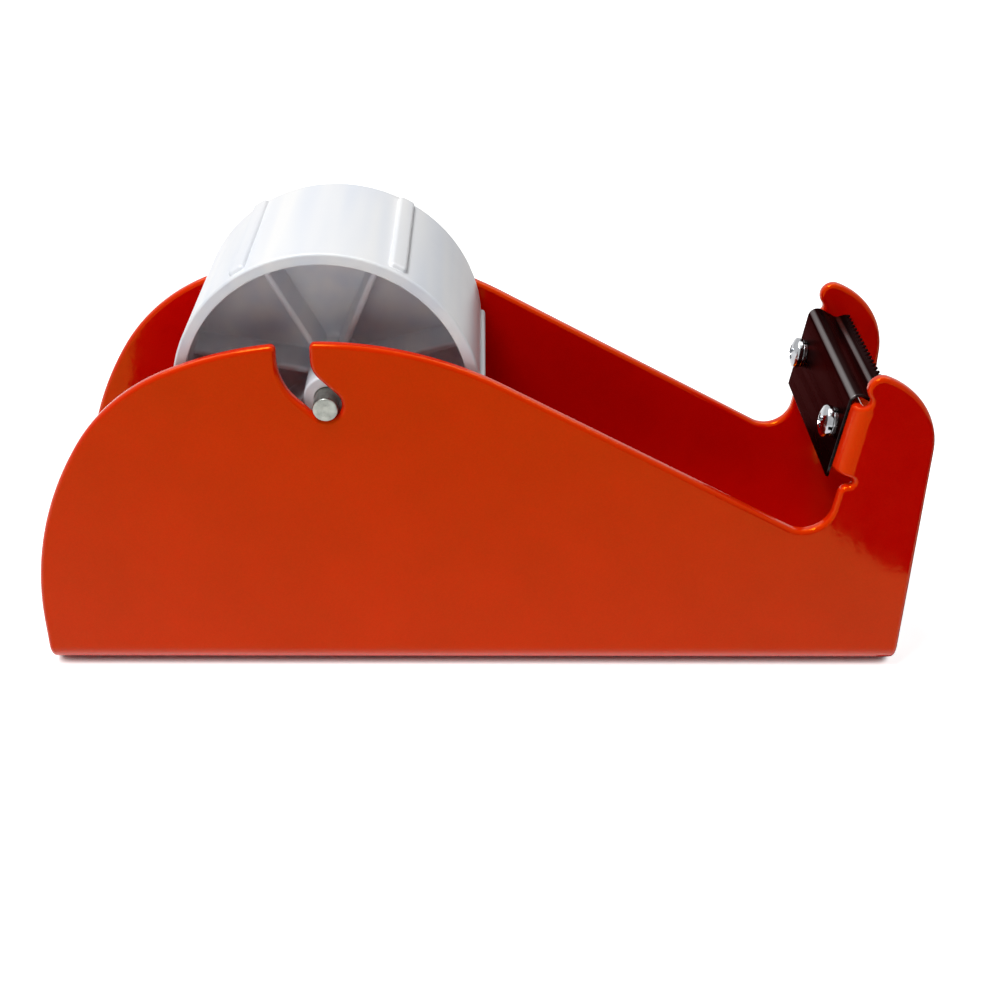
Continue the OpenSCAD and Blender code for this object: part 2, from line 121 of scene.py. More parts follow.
def trimmed(points, length):
    """A polyline without its last stretch of a given length."""
    steps = np.linalg.norm(np.diff(points, axis=0), axis=1)
    along = np.concatenate([[0], np.cumsum(steps)])
    cut = along[-1] - length
    last = np.array([np.interp(cut, along, points[:, k]) for k in range(points.shape[1])])
    return np.vstack([points[along < cut - 1e-9], last])


def rounded_corner(before, after, radius):
    """Two polylines that meet at a corner, joined by a round of about that radius."""
    into = before[-1] - before[-2]
    out = after[1] - after[0]
    turn = math.acos(np.clip(into @ out / np.linalg.norm(into) / np.linalg.norm(out), -1, 1))
    cut = radius * math.tan(turn / 2)
    before = trimmed(before, cut)
    after = trimmed(after[::-1], cut)[::-1]
    corner = before[-1] + (before[-1] - before[-2]) / np.linalg.norm(before[-1] - before[-2]) * cut
    weight = math.cos(turn / 2)
    t = np.linspace(0, 1, 12)[1:-1, None]
    blend = (1 - t) ** 2 + 2 * weight * t * (1 - t) + t ** 2
    bend = ((1 - t) ** 2 * before[-1] + 2 * weight * t * (1 - t) * corner + t ** 2 * after[0]) / blend
    return np.vstack([before, bend]), after


def joined(stretches):
    """One polyline from stretches; a number between two of them rounds the corner there."""
    path = stretches[0]
    radius = 0
    for item in stretches[1:]:
        if np.isscalar(item):
            radius = item
            continue
        if radius:
            path, item = rounded_corner(path, item, radius)
        else:
            item = item[1:] if np.allclose(path[-1], item[0], atol=1e-6) else item
        path = np.vstack([path, item])
        radius = 0
    return path


def polygon_normals(loop):
    """Outward directions at a counterclockwise loop's points, and how much longer each is at a corner."""
    ahead = np.roll(loop, -1, 0) - loop
    ahead /= np.linalg.norm(ahead, axis=1)[:, None]
    behind = np.roll(ahead, 1, 0)
    normal = np.stack([ahead[:, 1] + behind[:, 1], -ahead[:, 0] - behind[:, 0]], 1)
    normal /= np.linalg.norm(normal, axis=1)[:, None]
    half_cos = np.sqrt(np.clip((1 + (ahead * behind).sum(1)) / 2, 0.1, 1))
    return normal, 1 / half_cos


def inside(loop, points):
    """Which points lie inside a closed loop."""
    x, y = points[:, 0, None], points[:, 1, None]
    ax, ay = loop[:, 0], loop[:, 1]
    bx, by = np.roll(ax, -1), np.roll(ay, -1)
    spans = (ay > y) != (by > y)
    rise = np.where(by == ay, 1, by - ay)
    return (spans & (x < (bx - ax) * (y - ay) / rise + ax)).sum(1) % 2 == 1


def edge_rows(thickness, radius, segments=5):
    """Inset, height and slope of the rows round a sheet's edge, from its outer face to its inner one."""
    quarter = np.radians(np.linspace(90, 0, segments + 1))
    inset = radius - radius * np.cos(quarter)
    height = thickness / 2 - radius + radius * np.sin(quarter)
    top = list(zip(inset, height, quarter))
    return top + [(i, -h, -q) for i, h, q in reversed(top)]


def band(here, there, count):
    """Faces between two closed rings of points, each given by the number of its first point."""
    after = [(i + 1) % count for i in range(count)]
    return [(here + i, here + j, there + j, there + i) for i, j in enumerate(after)]


def filled(rim, inner, ties):
    """Triangles over a plate's face, from its rim, the points inside it and the edges that it keeps."""
    flat, count = np.vstack([rim, inner]), len(rim)
    edges = [(i, (i + 1) % count) for i in range(count)] + list(ties)
    found = delaunay_2d_cdt([Vector(p) for p in flat], edges, [], 0, 1e-7)
    if len(found[0]) != len(flat):
        raise ValueError("an edge crosses another in a plate's outline")
    source = [ids[0] for ids in found[3]]
    triangles = np.array([[source[i] for i in f] for f in found[2]])
    triangles = triangles[inside(rim, flat[triangles].mean(1))]
    a, b, c = (flat[triangles[:, k]] for k in range(3))
    area = (b[:, 0] - a[:, 0]) * (c[:, 1] - a[:, 1]) - (c[:, 0] - a[:, 0]) * (b[:, 1] - a[:, 1])
    triangles[area < 0] = triangles[area < 0][:, ::-1]
    return triangles


def slab(loop, rows, ties=(), closed=True, inner=np.empty((0, 2))):
    """Points, normals and faces of a plate with shaped edges, drawn flat: x, y across it and z through it.

    inner points lie on its faces; ties are pairs of loop points, or of inner points counted on from them,
    that the faces keep an edge between; closed adds the lower face.
    """
    normal, mitre = polygon_normals(loop)
    count, last = len(loop), len(rows) - 1
    points, normals, faces = [], [], []
    for inset, height, slope in rows:
        points.append(np.column_stack([loop - normal * (mitre * inset)[:, None], np.full(count, height)]))
        normals.append(np.column_stack([normal * math.cos(slope), np.full(count, math.sin(slope))]))
    for k in range(last):
        faces += band((k + 1) * count, k * count, count)
    triangles = filled(points[0][:, :2], inner, ties)
    spread = np.arange(len(inner))
    upper = np.concatenate([np.arange(count), len(rows) * count + spread])
    lower = np.concatenate([last * count + np.arange(count), len(rows) * count + len(inner) + spread])
    for height, up in ((rows[0][1], 1), (rows[last][1], -1)):
        points.append(np.column_stack([inner, np.full(len(inner), height)]))
        normals.append(np.tile([0, 0, up], (len(inner), 1)))
    faces += [tuple(upper[t]) for t in triangles]
    if closed:
        faces += [tuple(lower[t[::-1]]) for t in triangles]
    return np.vstack(points), np.vstack(normals), faces


def revolved(profile, segments, turn=360.0):
    """Points and faces of a closed (radius, height) profile turned about z, all the way or part of it."""
    whole = turn >= 360
    angles = np.radians(np.linspace(0, turn, segments + (0 if whole else 1), endpoint=not whole))
    count, rings = len(profile), len(angles)
    points = np.array([[r * math.cos(a), r * math.sin(a), h] for a in angles for r, h in profile])
    faces = []
    for ring in range(rings if whole else rings - 1):
        faces += band((ring + 1) % rings * count, ring * count, count)
    if not whole:
        faces += [tuple(range(count)), tuple(range((rings - 1) * count, rings * count))[::-1]]
    return points, faces


def prism(rings):
    """Points and faces of a solid with straight sides between rings of as many points each."""
    count, last = len(rings[0]), len(rings) - 1
    faces = []
    for k in range(last):
        faces += band(k * count, (k + 1) * count, count)
    faces += [tuple(range(count))[::-1], tuple(range(last * count, (last + 1) * count))]
    return np.vstack(rings), faces


def rounded_loop(corners, radii, step):
    """Closed polyline through corners, each rounded by its radius."""
    middles = [(np.array(a) + np.array(b)) / 2 for a, b in zip(corners, corners[1:] + corners[:1])]
    stretches = [line(middles[-1], corners[0], step)]
    for i, radius in enumerate(radii):
        nexts = [line(corners[i], middles[i], step)]
        if i + 1 < len(corners):
            nexts.append(line(middles[i], corners[i + 1], step))
        stretches += [radius] + [joined(nexts)] if radius else [joined(nexts)]
    path = joined(stretches)
    return path[:-1] if np.allclose(path[0], path[-1], atol=1e-6) else path


def new_mesh(name, points, faces, normals=None, sharp=40.0):
    """Mesh from points in millimetres, smooth by its own normals or by an angle in degrees."""
    mesh = bpy.data.meshes.new(name)
    mesh.from_pydata((np.asarray(points) * MM).tolist(), [], [tuple(int(i) for i in f) for f in faces])
    mesh.polygons.foreach_set("use_smooth", [True] * len(mesh.polygons))
    if normals is None:
        mesh.set_sharp_from_angle(angle=math.radians(sharp))
    else:
        mesh.normals_split_custom_set_from_vertices(np.asarray(normals, float).tolist())
    mesh.update()
    return mesh


def new_piece(name, mesh, material, body, node):
    """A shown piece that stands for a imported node."""
    piece = bpy.data.objects.new(name, mesh)
    bpy.context.scene.collection.objects.link(piece)
    mesh.materials.append(material)
    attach(piece, body)
    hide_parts(node)


# Side view of the body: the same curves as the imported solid.
FRONT_X = BODY_LEN / 2
REAR_X = -FRONT_X
AXLE_X = REAR_X + TAIL_REACH
SHOULDER_A = 180 - TAIL_TURN
CROWN_A = SHOULDER_A - SHOULDER_TURN
SLOPE_A = 90 - SLOPE_FALL
TAIL_C = np.array([REAR_X + TAIL_R, TAIL_Z])
SHOULDER_C = TAIL_C + (TAIL_R - SHOULDER_R) * unit(SHOULDER_A)
CROWN_C = SHOULDER_C + (SHOULDER_R - CROWN_R) * unit(CROWN_A)
CROWN_END = CROWN_C + CROWN_R * unit(SLOPE_A)
FLANGE_FOOT = np.array([FRONT_X - FLANGE_SETBACK, FLANGE_Z])
FORWARD, UPWARD = unit(-LEAN), unit(90 - LEAN)
SLOT_END = np.array([AXLE_X, AXLE_H + SLOT_W / 2 - ROD_D / 2 - SEAT_GAP])
SLOT_C = SLOT_END + SLOT_RUN * unit(90 + SLOT_TURN) - SLOT_R * unit(180 + SLOT_TURN)
PLATE_Z = PAD_T + FOLD_R
BASE_HALF, FOLD_MID = BODY_W / 2 - FOLD_R, FOLD_R - SHEET_T / 2
FOLD_LEN = FOLD_MID * math.pi / 2
BLADE_HALF = BODY_W / 2 - SHEET_T - BLADE_GAP


def meet(p, d, q, e):
    """Where two lines meet, each a point and a direction."""
    away = q - p
    return p + d * (away[0] * e[1] - away[1] * e[0]) / (d[0] * e[1] - d[1] * e[0])


def at_flange(points):
    """Side-view points from the flange's frame: forward from its rear face, up along it."""
    points = np.asarray(points, float)
    return FLANGE_FOOT + points[:, :1] * FORWARD + points[:, 1:] * UPWARD


def in_flange(points):
    """Side-view points in the flange's frame."""
    return np.stack([(points - FLANGE_FOOT) @ FORWARD, (points - FLANGE_FOOT) @ UPWARD], 1)


# In the flange's frame: the notch and the lip below it, the ear's tip and its crook, and the flange's fold.
NOTCH_C = np.array([BEND_R - RELIEF_W / 2, -RELIEF_W / 2])
LIP_X = EDGE_SETBACK + LIP_R
LIP_C = np.array([LIP_X, NOTCH_C[1] - math.sqrt((RELIEF_W / 2 + LIP_R) ** 2 - (LIP_X - NOTCH_C[0]) ** 2)])
EAR_C = np.array([FRONT_X - EAR_R, EAR_TOP - EAR_R])
EAR_MID = in_flange(EAR_C[None])[0]
TIP_X = TIP_SETBACK + EAR_TIP_R
TIP_C = np.array([TIP_X, EAR_MID[1] + math.sqrt((EAR_R - EAR_TIP_R) ** 2 - (TIP_X - EAR_MID[0]) ** 2)])
TIP_RISE = TIP_C[1] - FLANGE_H - CROOK_R
CROOK_C = np.array([TIP_X - math.sqrt((EAR_TIP_R + CROOK_R) ** 2 - TIP_RISE ** 2), FLANGE_H + CROOK_R])
BEND_MID = BEND_R - SHEET_T / 2
FOLD_END = BEND_R - BEND_MID * math.pi / 2


def crown_angle(x):
    """Angle on the crown's circle above a place along the body."""
    return math.degrees(math.acos((x - CROWN_C[0]) / CROWN_R))


def back_path():
    """The body's edge from the rear of the base, over the tail and crown, to the axle slot's rear wall."""
    wall = SLOT_C[0] - SLOT_R - SLOT_W / 2
    top = arc(CROWN_C, CROWN_R, CROWN_A, crown_angle(wall))
    return joined([line([REAR_X, PLATE_Z], [REAR_X, TAIL_Z]),
                   arc(TAIL_C, TAIL_R, 180, SHOULDER_A),
                   arc(SHOULDER_C, SHOULDER_R, SHOULDER_A, CROWN_A),
                   top, CORNER_ROUND, line(top[-1], [wall, SLOT_C[1]])])


def slot_path():
    """The axle slot below its straight walls, down one side, round the seat and up the other."""
    rear = arc(SLOT_C, SLOT_R + SLOT_W / 2, 180, 180 + SLOT_TURN)
    seat = arc(SLOT_END, SLOT_W / 2, 180 + SLOT_TURN, 360 + SLOT_TURN)
    front = arc(SLOT_C, SLOT_R - SLOT_W / 2, 180 + SLOT_TURN, 180)
    return joined([rear, line(rear[-1], seat[0]), seat, line(seat[-1], front[0]), front])


def direction(a, b):
    """Angle in degrees from one point to another."""
    return math.degrees(math.atan2(b[1] - a[1], b[0] - a[0]))


def slope_path():
    """From the slot's front wall over the crown, down the slope, round the valley and over the lip."""
    wall = SLOT_C[0] - SLOT_R + SLOT_W / 2
    edge = FLANGE_FOOT + EDGE_SETBACK * FORWARD
    valley = meet(CROWN_END + VALLEY_R * unit(SLOPE_A), unit(-SLOPE_FALL),
                  edge - VALLEY_R * FORWARD, UPWARD)
    top = arc(CROWN_C, CROWN_R, crown_angle(wall), SLOPE_A)
    dip = arc(valley, VALLEY_R, 180 + SLOPE_A, 360 - LEAN)
    lip = at_flange(arc(LIP_C, LIP_R, 180, direction(LIP_C, NOTCH_C), 0.25))
    return joined([line([wall, SLOT_C[1]], top[0]), CORNER_ROUND, top, line(CROWN_END, dip[0]), dip,
                   line(dip[-1], lip[0]), lip])


def fold_foot():
    """The flange's lower edge across its fold, from the plate backward."""
    swing = np.radians(np.linspace(0, 90, NOTCH_STEPS))
    straight = np.arange(NOTCH_C[0] - FOLD_STEP, FOLD_END - 2 * FOLD_STEP, -FOLD_STEP)
    return np.vstack([NOTCH_C + RELIEF_W / 2 * np.stack([np.cos(swing), np.sin(swing)], 1),
                      np.stack([straight, np.zeros(len(straight))], 1)])


def flange_path():
    """Round the flange, laid out flat behind its fold, from the lip to the crook below the ear's tip."""
    laid = FOLD_END - (FLANGE_REACH - BEND_R)
    low = fold_foot()
    notch = arc(NOTCH_C, RELIEF_W / 2, direction(LIP_C, NOTCH_C) - 180, 0, 0.2)
    crook = arc(CROOK_C, CROOK_R, -90, direction(CROOK_C, TIP_C), 0.2)
    middle = [laid, FLANGE_H / 2]
    return at_flange(joined([notch, low, line(low[-1], [laid, 0]),
                             CORNER_ROUND, line([laid, 0], middle), line(middle, [laid, FLANGE_H]),
                             CORNER_ROUND, line([laid, FLANGE_H], crook[0], FOLD_STEP), crook]))


def ear_path():
    """From the crook over the ear's tip and top and down its front edge."""
    top_a = direction(EAR_MID, TIP_C)
    tip = at_flange(arc(TIP_C, EAR_TIP_R, direction(CROOK_C, TIP_C) + 180, top_a, 0.3))
    return joined([tip, arc(EAR_C, EAR_R, top_a - LEAN, 0), line([FRONT_X, EAR_C[1]], [FRONT_X, PLATE_Z])])


def fold_columns():
    """Rows of points up the flange's fold, foot first, that keep the fold round and let it fade."""
    foot = fold_foot()
    full = FLANGE_H - np.array([4.0, 3.0, 2.0])
    fading = np.concatenate([full, FLANGE_H + np.arange(-1.0, 4.0)])
    clear = CROOK_C[0] + CROOK_R + EDGE_ROUND + 0.2
    return [np.array([spot] + [(spot[0], up) for up in (fading if spot[0] > clear else full)])
            for spot in np.vstack([foot[:NOTCH_STEPS:2], foot[NOTCH_STEPS:]])]


def unfolded(side_view, half):
    """Side-view points as points of the sheet before folding, on its right (-1) or left (1) half."""
    across = side_view[:, 1] - PLATE_Z + BASE_HALF + FOLD_LEN
    return np.stack([side_view[:, 0], half * across], 1)


def body_blank():
    """The sheet before folding: its outline, the ties along its folds and points inside it."""
    side = joined([back_path(), slot_path(), slope_path(), flange_path(), ear_path()])
    fold = np.linspace(BASE_HALF + FOLD_LEN, BASE_HALF, 11)[1:]
    middle = np.linspace(-BASE_HALF, BASE_HALF, 18)[1:-1]
    end = np.concatenate([-fold, middle, fold[::-1]])
    right = unfolded(side, -1)
    left = unfolded(side, 1)[::-1]
    loop = np.vstack([right, np.stack([np.full(len(end), FRONT_X), end], 1),
                      left, np.stack([np.full(len(end), REAR_X), -end], 1)])
    front = len(right) + np.arange(len(end))
    rear = len(loop) - 1 - np.arange(len(end))
    creased = np.abs(end) >= BASE_HALF - 1e-6
    ties = [(int(a), int(b)) for a, b in zip(front[creased], rear[creased])]
    ties += [(0, len(right) - 1), (len(right) + len(end), len(right) + len(end) + len(left) - 1)]
    flat = in_flange(side)
    inner = []
    for column in fold_columns():
        foot = int(np.argmin(np.linalg.norm(flat - column[0], axis=1)))
        for half, start in ((-1, foot), (1, len(loop) - len(end) - 1 - foot)):
            chain = [start] + [len(loop) + len(inner) + i for i in range(len(column) - 1)]
            ties += list(zip(chain, chain[1:]))
            inner += list(unfolded(at_flange(column[1:]), half))
    return loop, ties, np.array(inner)


def fold_share(flat):
    """How far flange-frame points of a side plate are folded: 1 on the flange, fading to 0 at the ear."""
    forward, up = flat[:, 0], flat[:, 1]
    beside = (forward < BEND_R) & (forward > -FLANGE_REACH) & (up > NOTCH_C[1])
    left = np.clip(1 - (up - FLANGE_H + (forward - CROOK_C[0]) / 2) / FOLD_FADE, 0, 1)
    return np.where(beside, left ** 2 * (3 - 2 * left), 0)


def folded(points, normals):
    """Blank points and normals (along, across, through) folded into the channel with its flanges.

    A normal is left at zero, for the mesh to work out, where a flange's fold fades.
    """
    along, across, through = points.T
    side = np.where(across < 0, -1.0, 1.0)
    reach = np.abs(across)
    turn = np.clip((reach - BASE_HALF) / FOLD_MID, 0, math.pi / 2)
    rise = np.clip(reach - BASE_HALF - FOLD_LEN, 0, None)
    zero, one = np.zeros_like(along), np.ones_like(along)
    spot = np.stack([along, side * (np.minimum(reach, BASE_HALF) + FOLD_MID * np.sin(turn)),
                     PLATE_Z - FOLD_MID * np.cos(turn) + rise], 1)
    ahead = np.stack([one, zero, zero], 1)
    outward = np.stack([zero, side * np.cos(turn), np.sin(turn)], 1)
    inner = np.stack([zero, -side * np.sin(turn), np.cos(turn)], 1)

    flat = in_flange(spot[:, [0, 2]])
    share = np.where(rise > 0, fold_share(flat), 0)
    bent = share > 0
    back = np.where(bent, BEND_R - flat[:, 0], 0)
    radius = BEND_MID / np.where(bent, share, 1)
    bend = np.clip(back / radius, 0, math.pi / 2)[:, None]
    extra = np.clip(back - radius * math.pi / 2, 0, None)
    forward = np.array([FORWARD[0], 0, FORWARD[1]])
    upward = np.array([UPWARD[0], 0, UPWARD[1]])
    inward = np.stack([zero, -side, zero], 1)
    moved = np.array([FLANGE_FOOT[0], 0, FLANGE_FOOT[1]]) + flat[:, 1:] * upward
    moved = moved + (BEND_R - radius[:, None] * np.sin(bend)) * forward
    moved[:, 1] = side * (BODY_W / 2 - SHEET_T / 2 - radius * (1 - np.cos(bend[:, 0])) - extra)
    tangent = np.cos(bend) * forward - np.sin(bend) * inward
    plane = normals[:, :1] * ahead + (normals[:, 1] * side)[:, None] * outward
    spot[bent] = moved[bent]
    inner[bent] = (np.cos(bend) * inward + np.sin(bend) * forward)[bent]
    plane[bent] = ((plane @ forward)[:, None] * tangent + (plane @ upward)[:, None] * upward)[bent]
    facing = plane + normals[:, 2:] * inner
    facing[bent & (share < 1)] = 0
    return spot + through[:, None] * inner, facing


def body_mesh():
    """The folded steel channel with its rounded edges, both ears and both flanges."""
    loop, ties, inner = body_blank()
    points, normals, faces = slab(loop, edge_rows(SHEET_T, EDGE_ROUND), ties, inner=inner)
    points, normals = folded(points, normals)
    return new_mesh("channel_sheet", points, faces, normals)


def on_axle(points):
    """Points about an upright axis, laid over onto the axle."""
    points = np.asarray(points, float)
    return np.stack([AXLE_X + points[:, 0], -points[:, 2], AXLE_H + points[:, 1]], 1)


def merged(parts):
    """Several (points, faces) as one."""
    points, faces, start = [], [], 0
    for part_points, part_faces in parts:
        points.append(part_points)
        faces += [tuple(int(i) + start for i in f) for f in part_faces]
        start += len(part_points)
    return np.vstack(points), faces


def hub_wheel():
    """Rim, web and boss of the hub in one turned profile."""
    rim, inside_r, boss, bore = HUB_D / 2, HUB_D / 2 - RIM_T, BOSS_D / 2, ROD_D / 2 + RUNNING_GAP
    half, web = HUB_W / 2, WEB_T / 2
    near = [(rim, half), (inside_r, half), (inside_r - HUB_DRAFT, web),
            (boss + HUB_DRAFT, web), (boss, half), (bore, half)]
    near_r = [0.6, 0.3, 1.4, 1.2, 0.5, 0.3]
    far = [(r, -h) for r, h in reversed(near)]
    profile = rounded_loop(near + far, near_r + near_r[::-1], 1.0)
    return revolved(profile, 192)


def spoke(angle, side):
    """One rib from the boss to the rim on one side of the web, with a fillet along its foot."""
    foot, half, top = WEB_T / 2, SPOKE_T / 2, SPOKE_W / 2
    toe, heel, crest = half + SPOKE_FILLET, half + SPOKE_SPREAD, half - SPOKE_DRAFT
    corners = [(-toe, foot - SPOKE_SINK), (toe, foot - SPOKE_SINK), (heel, foot - SPOKE_DIP),
               (crest, top), (-crest, top), (-heel, foot - SPOKE_DIP)]
    section = rounded_loop(corners, [0, 0, 1.0, 0.7, 0.7, 1.0], 1.0)
    across = unit(angle + 90 * side)
    ends = (BOSS_D / 2 - SPOKE_LAP, HUB_D / 2 - RIM_T / 2)
    return prism([[(*(end * unit(angle) + t * across), side * h) for t, h in section] for end in ends])


def grip_rib(angle):
    """One soft-edged grip rib along the outside of the rim."""
    half, end = RIB_W / 2, HUB_W / 2 - RIB_END
    loop = rounded_loop([(half, -end), (half, end), (-half, end), (-half, -end)], [RIB_CORNER] * 4, 2.0)
    side, foot = RIB_CORNER * RIB_ROUND, RIB_H * RIB_FOOT
    crest = np.radians(np.linspace(90, 0, 7))
    toe = np.radians(np.linspace(0, 90, 5)[1:])
    rows = [(side * (1 - math.cos(q)), foot + (RIB_H - foot) * math.sin(q), q) for q in crest]
    rows += [(-foot * (1 - math.cos(q)), foot * (1 - math.sin(q)), q) for q in toe]
    points, _, faces = slab(loop, rows, closed=False)
    turn = math.radians(angle) + points[:, 0] / (HUB_D / 2)
    radius = HUB_D / 2 + points[:, 2]
    return np.stack([radius * np.cos(turn), radius * np.sin(turn), points[:, 1]], 1), faces


def hub_mesh():
    """The white tape hub: rim, web, boss, spokes on both sides and grip ribs."""
    parts = [hub_wheel()]
    parts += [spoke(SPOKE_A + i * 360 / SPOKE_COUNT, side) for i in range(SPOKE_COUNT) for side in (-1, 1)]
    parts += [grip_rib(RIB_A + i * 360 / RIB_COUNT) for i in range(RIB_COUNT)]
    points, faces = merged(parts)
    return new_mesh("hub", on_axle(points), faces)


def rod_mesh():
    """The steel axle rod with its chamfered ends."""
    half, radius = BODY_W / 2 + ROD_PROUD, ROD_D / 2
    profile = rounded_loop([(AXIS_R, -half), (radius, -half), (radius, half), (AXIS_R, half)],
                           [0, ROD_CHAMFER, ROD_CHAMFER, 0], 1.0)
    points, faces = revolved(profile, 64)
    return new_mesh("rod", on_axle(points), faces)


def flange_space(forward, across, up):
    """Points given forward from the flanges' rear faces, across the body and up along the flanges."""
    side_view = at_flange(np.stack([forward, up], 1))
    return np.stack([side_view[:, 0], across, side_view[:, 1]], 1)


def along_strip(distance, runs):
    """Places and headings along a bent strip; runs are (length, turn in degrees)."""
    spot, heading, start = np.array([-BLADE_T / 2, -BLADE_DROP]), math.pi / 2, 0.0
    places = np.tile(spot, (len(distance), 1))
    headings = np.full(len(distance), heading)
    for length, turn in runs:
        angle = math.radians(turn)
        part = distance - start if (length, turn) == runs[-1] else np.clip(distance - start, 0, length)
        on = distance >= start - 1e-9
        swing = angle * part / length
        reach = part * np.sinc(swing / 2 / math.pi)
        chord = heading + swing / 2
        places[on] = (spot + reach[:, None] * np.stack([np.cos(chord), np.sin(chord)], 1))[on]
        headings[on] = (heading + swing)[on]
        spot = spot + length * np.sinc(turn / 360) * unit(math.degrees(heading) + turn / 2)
        heading, start = heading + angle, start + length
    return places, headings


def blade_runs():
    """The blade's stretches from its foot to its teeth, each with its length and its turn in degrees."""
    bend_mid = BLADE_BEND_R + BLADE_T / 2
    return [(BLADE_PLATE_H, 0), (math.radians(BLADE_TOP_TURN) * bend_mid, -BLADE_TOP_TURN), (BLADE_SHELF, 0),
            (math.radians(BLADE_LIP_TURN) * bend_mid, BLADE_LIP_TURN), (BLADE_LIP + TOOTH_DEPTH, 0)]


def blade_mesh():
    """The black cutter blade: one strip with two bends and a row of teeth."""
    runs = blade_runs()
    ends = np.cumsum([length for length, _ in runs])
    root = ends[-1] - TOOTH_DEPTH
    starts = np.concatenate([[0], ends])
    stretches = [np.linspace(starts[k], ends[k], steps) for k, steps in enumerate((8, 20, 4, 12))]
    side = np.unique(np.concatenate([*stretches, [root]]))
    count = int(2 * BLADE_HALF // TOOTH_PITCH)
    teeth = np.linspace(-BLADE_HALF, BLADE_HALF, 2 * count + 1)[1:-1]
    tips = np.where(np.arange(len(teeth)) % 2 == 0, ends[-1], root)
    loop = np.vstack([np.stack([side, np.full(len(side), -BLADE_HALF)], 1), np.stack([tips, teeth], 1),
                      np.stack([side[::-1], np.full(len(side), BLADE_HALF)], 1)])
    ties = [(i, len(loop) - 1 - i) for i in range(1, len(side) - 1)]
    points, normals, faces = slab(loop, edge_rows(BLADE_T, BLADE_EDGE, 3), ties)
    places, headings = along_strip(points[:, 0], runs)
    facing = np.stack([-np.sin(headings), np.cos(headings)], 1)
    ahead = np.stack([np.cos(headings), np.sin(headings)], 1)
    places = places + points[:, 2:] * facing
    flat = normals[:, :1] * ahead + normals[:, 2:] * facing
    shown = flange_space(places[:, 0], points[:, 1], places[:, 1])
    lit = flange_space(flat[:, 0], normals[:, 1], flat[:, 1]) - flange_space(*np.zeros((3, len(flat))))
    return new_mesh("blade", shown, faces, lit)


def at_screw(points, side):
    """Points about an upright axis, laid onto a blade screw, forward from the blade's rear face."""
    points = np.asarray(points, float)
    across = side * (BLADE_HALF - SCREW_INSET) + points[:, 1]
    return flange_space(points[:, 2] - BLADE_T, across, SCREW_S - points[:, 0])


def cut_by(mesh, cutter):
    """A mesh with another cut out of it."""
    pair = [bpy.data.objects.new(m.name, m) for m in (mesh, cutter)]
    for item in pair:
        bpy.context.scene.collection.objects.link(item)
    boolean = pair[0].modifiers.new("recess", "BOOLEAN")
    boolean.operation, boolean.solver, boolean.object = "DIFFERENCE", "EXACT", pair[1]
    shaped = pair[0].evaluated_get(bpy.context.evaluated_depsgraph_get())
    result = bpy.data.meshes.new_from_object(shaped)
    for item in pair:
        bpy.data.objects.remove(item)
    result.polygons.foreach_set("use_smooth", [True] * len(result.polygons))
    result.set_sharp_from_angle(angle=math.radians(35))
    return result


def cross_ring(arm, half, height):
    """The corners of a cross recess at one height."""
    corners = np.array([(arm, -half), (arm, half), (half, half)])
    turns = [np.array([unit(45 + 90 * q), unit(135 + 90 * q)]) for q in range(4)]
    flat = np.vstack([corners @ turn for turn in turns])
    return np.column_stack([flat, np.full(len(flat), height)])


def screw_mesh(side):
    """A pan-head screw with its cross recess and its threaded shank."""
    dome_h = HEAD_H - HEAD_EDGE
    dome_r = ((HEAD_D / 2) ** 2 + dome_h ** 2) / (2 * dome_h)
    top, tip = -WASHER_T - HEAD_H, SCREW_LEN - WASHER_T
    sweep = math.degrees(math.asin(HEAD_D / 2 / dome_r))
    dome = arc([0, top + dome_r], dome_r, -90, -90 + sweep, 0.25)
    dome[0, 0] = AXIS_R
    rim, shank, seat = HEAD_D / 2, SCREW_D / 2, -WASHER_T
    head = joined([dome, HEAD_ROUND, line([rim, top + dome_h], [rim, seat], 0.1),
                   HEAD_FOOT_ROUND, line([rim, seat], [shank, seat], 0.5)])
    turns = int(SCREW_LEN / THREAD_PITCH) - 1
    thread = [(shank - THREAD_DEEP * (k % 2), seat + k * THREAD_PITCH / 2) for k in range(2 * turns + 1)]
    profile = np.vstack([head[:-1], thread, [(shank - THREAD_DEEP, tip), (AXIS_R, tip)]])
    points, faces = revolved(profile, 64)
    mouth = cross_ring(RECESS_LEN / 2, RECESS_W / 2, top - RECESS_OVER)
    bottom = cross_ring(RECESS_LEN * RECESS_FLOOR_LEN, RECESS_W * RECESS_FLOOR_W, top + RECESS_DEPTH)
    cross, cross_faces = prism([mouth, bottom])
    screw = new_mesh("screw", at_screw(points, side), faces)
    return cut_by(screw, new_mesh("cross", at_screw(cross, side), cross_faces))


def washer_mesh(side):
    """A split spring washer, cut through on one side."""
    bore = SCREW_D / 2 + THREAD_GAP
    profile = rounded_loop([(WASHER_D / 2, -WASHER_T), (WASHER_D / 2, 0), (bore, 0), (bore, -WASHER_T)],
                           [WASHER_ROUND] * 2 + [WASHER_BORE_ROUND] * 2, 0.1)
    gap = math.degrees(WASHER_CUT / (WASHER_D / 2 - WASHER_BAND))
    points, faces = revolved(profile, 90, 360 - gap)
    points = points @ np.array(Matrix.Rotation(math.radians(WASHER_TURN + gap / 2), 3, "Z")).T
    return new_mesh("washer", at_screw(points, side), faces)


